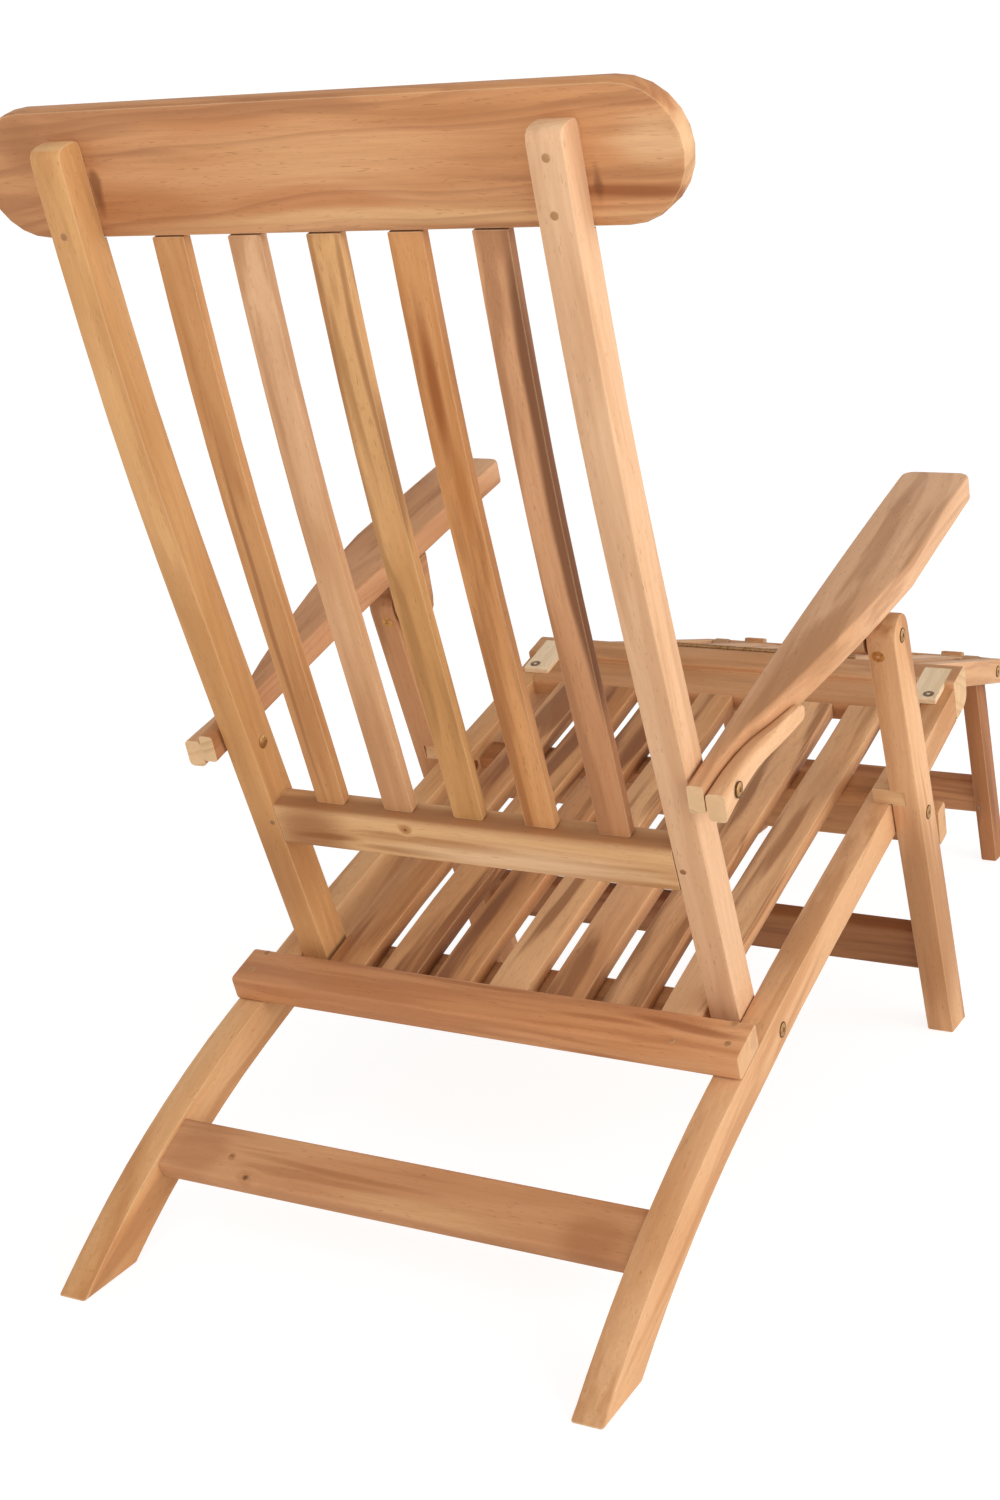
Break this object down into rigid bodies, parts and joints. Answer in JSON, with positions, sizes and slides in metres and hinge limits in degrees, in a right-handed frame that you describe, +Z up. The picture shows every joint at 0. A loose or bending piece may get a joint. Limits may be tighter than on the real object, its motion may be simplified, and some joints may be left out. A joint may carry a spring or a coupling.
{
  "type": "steamer deck chair",
  "caption": "Folding teak deck chair with a slatted seat and back, shaped arms, a rounded headboard and a hinged leg rest on its own folding legs.",
  "frame": {"origin": "on the floor under the middle of the opened chair", "axes": "+Z up, the sitter faces -Y, +X is the side of the left hand of the sitter"},
  "size_m": [0.604, 1.4368, 0.9743],
  "materials": {
    "teak_frame": "bare sanded teak, fine open grain",
    "teak_slats": "bare sanded teak, slightly redder",
    "teak_pale": "bare sanded teak, paler sapwood",
    "brass": "lightly tarnished brass"
  },
  "bodies": {
    "seat_frame": {"back_pivot_bolt_left": "brass", "back_pivot_bolt_right": "brass", "leg_pivot_bolt_left": "brass", "leg_pivot_bolt_right": "brass", "rail_cap_left": "teak_pale", "rail_cap_right": "teak_pale", "rear_cross_rail": "teak_frame", "rear_leg_stretcher": "teak_frame", "rest_hinge": "brass", "seat_batten_middle": "teak_frame", "seat_batten_rear": "teak_frame", "seat_front_rail": "teak_frame", "seat_slat_1": "teak_slats", "seat_slat_2": "teak_slats", "seat_slat_3": "teak_slats", "seat_slat_4": "teak_slats", "seat_slat_5": "teak_slats", "seat_slat_6": "teak_slats", "seat_slat_7": "teak_slats", "seat_stop_rail": "teak_frame", "side_rail_left": "teak_frame", "side_rail_right": "teak_frame"},
    "back_frame": {"arm_rear_bolt_left": "brass", "arm_rear_bolt_right": "brass", "back_slat_1": "teak_slats", "back_slat_2": "teak_slats", "back_slat_3": "teak_slats", "back_slat_4": "teak_slats", "back_slat_5": "teak_slats", "back_stile_left": "teak_frame", "back_stile_right": "teak_frame", "headboard": "teak_frame", "lower_back_rail": "teak_frame"},
    "arm_left_body": {"arm_left": "teak_frame", "arm_cleat_left": "teak_pale", "arm_block_left": "teak_frame"},
    "arm_right_body": {"arm_right": "teak_frame", "arm_cleat_right": "teak_pale", "arm_block_right": "teak_frame"},
    "front_legs": {"arm_front_bolt_left": "brass", "arm_front_bolt_right": "brass", "front_leg_left": "teak_frame", "front_leg_right": "teak_frame", "front_leg_stretcher": "teak_frame", "leg_stop_block_left": "teak_pale", "leg_stop_block_right": "teak_pale"},
    "leg_rest": {"rest_front_rail": "teak_frame", "rest_leg_bolt_left": "brass", "rest_leg_bolt_right": "brass", "rest_rail_left": "teak_frame", "rest_rail_right": "teak_frame", "rest_rear_rail": "teak_frame", "rest_slat_1": "teak_slats", "rest_slat_2": "teak_slats", "rest_slat_3": "teak_slats", "rest_slat_4": "teak_slats", "rest_slat_5": "teak_slats"},
    "rest_legs": {"rest_leg_left": "teak_frame", "rest_leg_right": "teak_frame", "rest_leg_stretcher": "teak_frame"}
  },
  "joints": [
    {"name": "back_fold", "type": "hinge", "parent": "seat_frame", "child": "back_frame", "pos_m": [0, 0.33254, 0.17], "axis": [1, 0, 0], "range_deg": [0, 50]},
    {"name": "front_leg_fold", "type": "hinge", "parent": "seat_frame", "child": "front_legs", "pos_m": [0, -0.00532, 0.27505], "axis": [1, 0, 0], "range_deg": [0, 66]},
    {"name": "arm_left_pivot", "type": "hinge", "parent": "back_frame", "child": "arm_left_body", "pos_m": [0, 0.44189, 0.421], "axis": [1, 0, 0], "range_deg": [-47, 0]},
    {"name": "arm_right_pivot", "type": "hinge", "parent": "back_frame", "child": "arm_right_body", "pos_m": [0, 0.44189, 0.421], "axis": [1, 0, 0], "range_deg": [-47, 0]},
    {"name": "leg_rest_fold", "type": "hinge", "parent": "seat_frame", "child": "leg_rest", "pos_m": [0, -0.24163, 0.36984], "axis": [1, 0, 0], "range_deg": [-195, 0]},
    {"name": "rest_leg_fold", "type": "hinge", "parent": "leg_rest", "child": "rest_legs", "pos_m": [0, -0.58297, 0.28071], "axis": [1, 0, 0], "range_deg": [0, 110]}
  ],
  "couplings": [
    {"joint": "front_leg_fold", "follows": "back_fold", "ratio": 1.2854},
    {"joint": "arm_left_pivot", "follows": "back_fold", "ratio": -0.9283},
    {"joint": "arm_right_pivot", "follows": "back_fold", "ratio": -0.9283}
  ]
}
